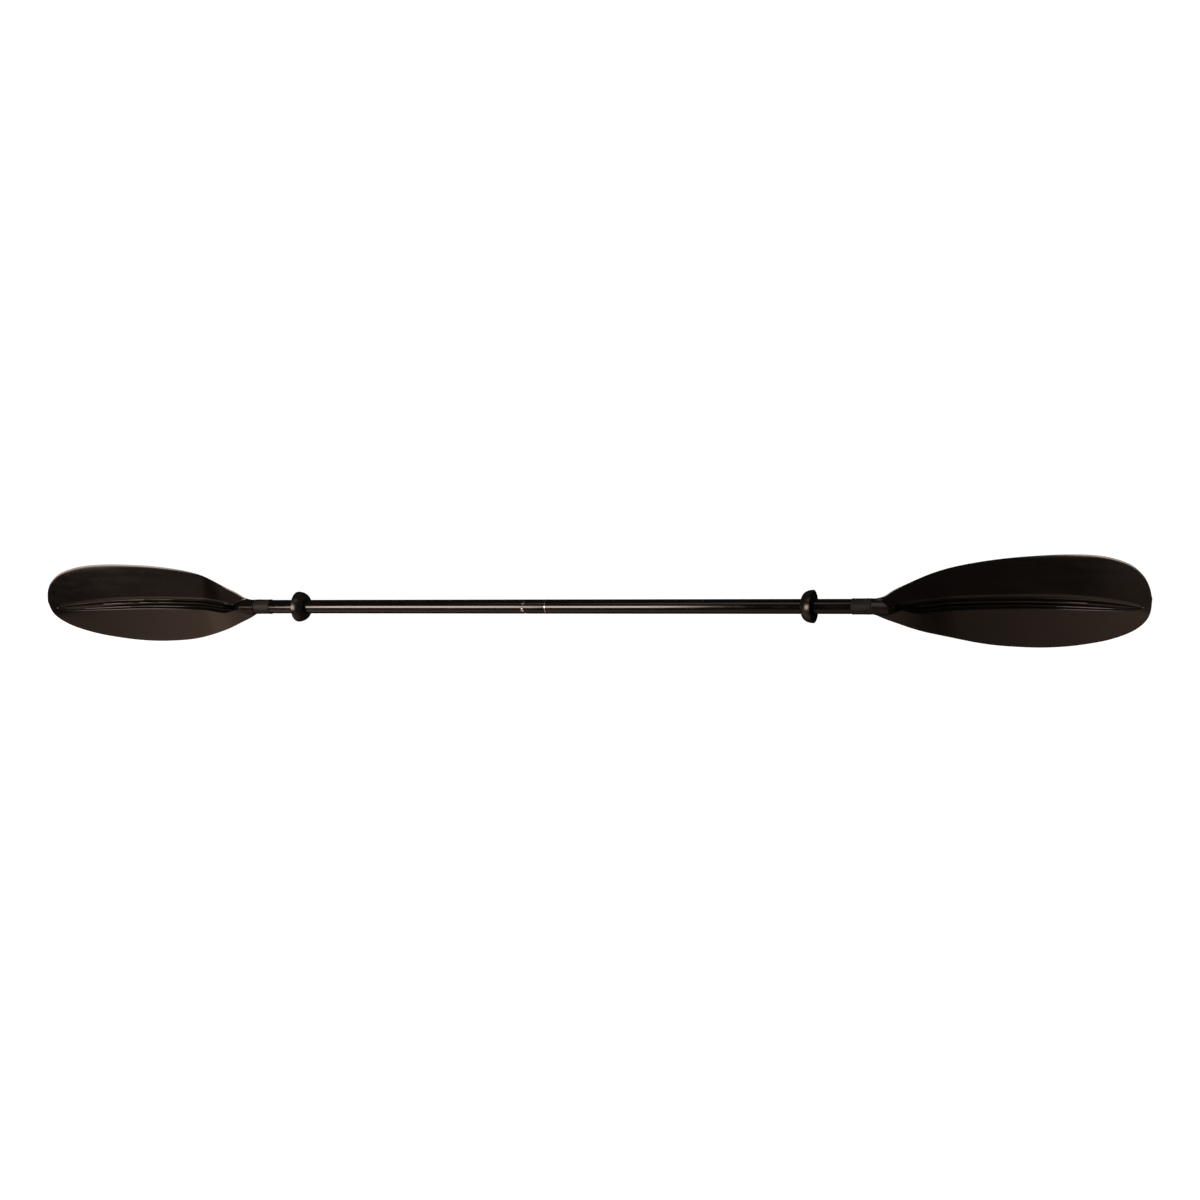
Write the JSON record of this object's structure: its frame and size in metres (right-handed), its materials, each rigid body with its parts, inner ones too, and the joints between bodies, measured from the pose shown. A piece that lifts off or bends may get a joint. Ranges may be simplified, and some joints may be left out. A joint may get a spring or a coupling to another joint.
{
  "type": "kayak paddle",
  "caption": "Double-bladed kayak paddle: spooned ribbed blades on a round shaft that comes apart at a push-button ferrule, with sliding drip rings.",
  "frame": {"origin": "on the surface that the paddle lies on, under its middle, with the shaft's axis 31.5 mm above it", "axes": "+X along the shaft towards the right blade (the half that holds the ferrule), +Y towards the fuller edge of both blades, +Z the way the power faces look, up from the surface"},
  "size_m": [2.2994, 0.1909, 0.0663],
  "materials": {
    "blade_plastic": "satin moulded nylon, near black with a warm brown cast",
    "collar_plastic": "matte moulded plastic, dark warm grey",
    "shaft_black": "glossy black anodised tube",
    "ring_rubber": "smooth black rubber with a soft sheen",
    "bright_metal": "bright turned metal",
    "spring_steel": "rolled spring steel strip",
    "float_foam": "closed-cell foam",
    "cap_plastic": "matte moulded cap"
  },
  "bodies": {
    "left_half": {"shaft_left": "shaft_black", "blade_left": "blade_plastic", "blade_collar_left": "collar_plastic", "neck_ring_left": "collar_plastic", "blade_pin_left": "bright_metal", "float_plug_left": "float_foam"},
    "coupling_ring": {"joint_ring": "bright_metal"},
    "right_half": {"shaft_right": "shaft_black", "blade_right": "blade_plastic", "blade_collar_right": "collar_plastic", "neck_ring_right": "collar_plastic", "blade_pin_right": "bright_metal", "float_plug_right": "float_foam", "ferrule_tube": "bright_metal", "ferrule_cap": "cap_plastic", "ferrule_rivet_inner": "bright_metal", "ferrule_rivet_outer": "bright_metal", "snap_spring": "spring_steel"},
    "button": {"snap_button": "bright_metal"},
    "left_drip_ring": {"drip_ring_left": "ring_rubber"},
    "right_drip_ring": {"drip_ring_right": "ring_rubber"}
  },
  "joints": [
    {"name": "pull_apart", "type": "slide", "parent": "left_half", "child": "coupling_ring", "axis": [1, 0, 0], "range_m": [0, 0.08]},
    {"name": "feather", "type": "hinge", "parent": "coupling_ring", "child": "right_half", "pos_m": [0.0065, 0, 0.03152], "axis": [1, 0, 0], "range_deg": [-60, 60]},
    {"name": "snap_button_press", "type": "slide", "parent": "right_half", "child": "button", "axis": [0, 0, 1], "range_m": [-0.0045, 0], "stiffness_N_per_m": 1500, "springref_m": 0.002, "deforming": ["snap_spring", "snap_button"]},
    {"name": "drip_ring_left_slide", "type": "slide", "parent": "left_half", "child": "left_drip_ring", "axis": [1, 0, 0], "range_m": [-0.062, 0.478]},
    {"name": "drip_ring_right_slide", "type": "slide", "parent": "right_half", "child": "right_drip_ring", "axis": [1, 0, 0], "range_m": [-0.508, 0.072]}
  ]
}
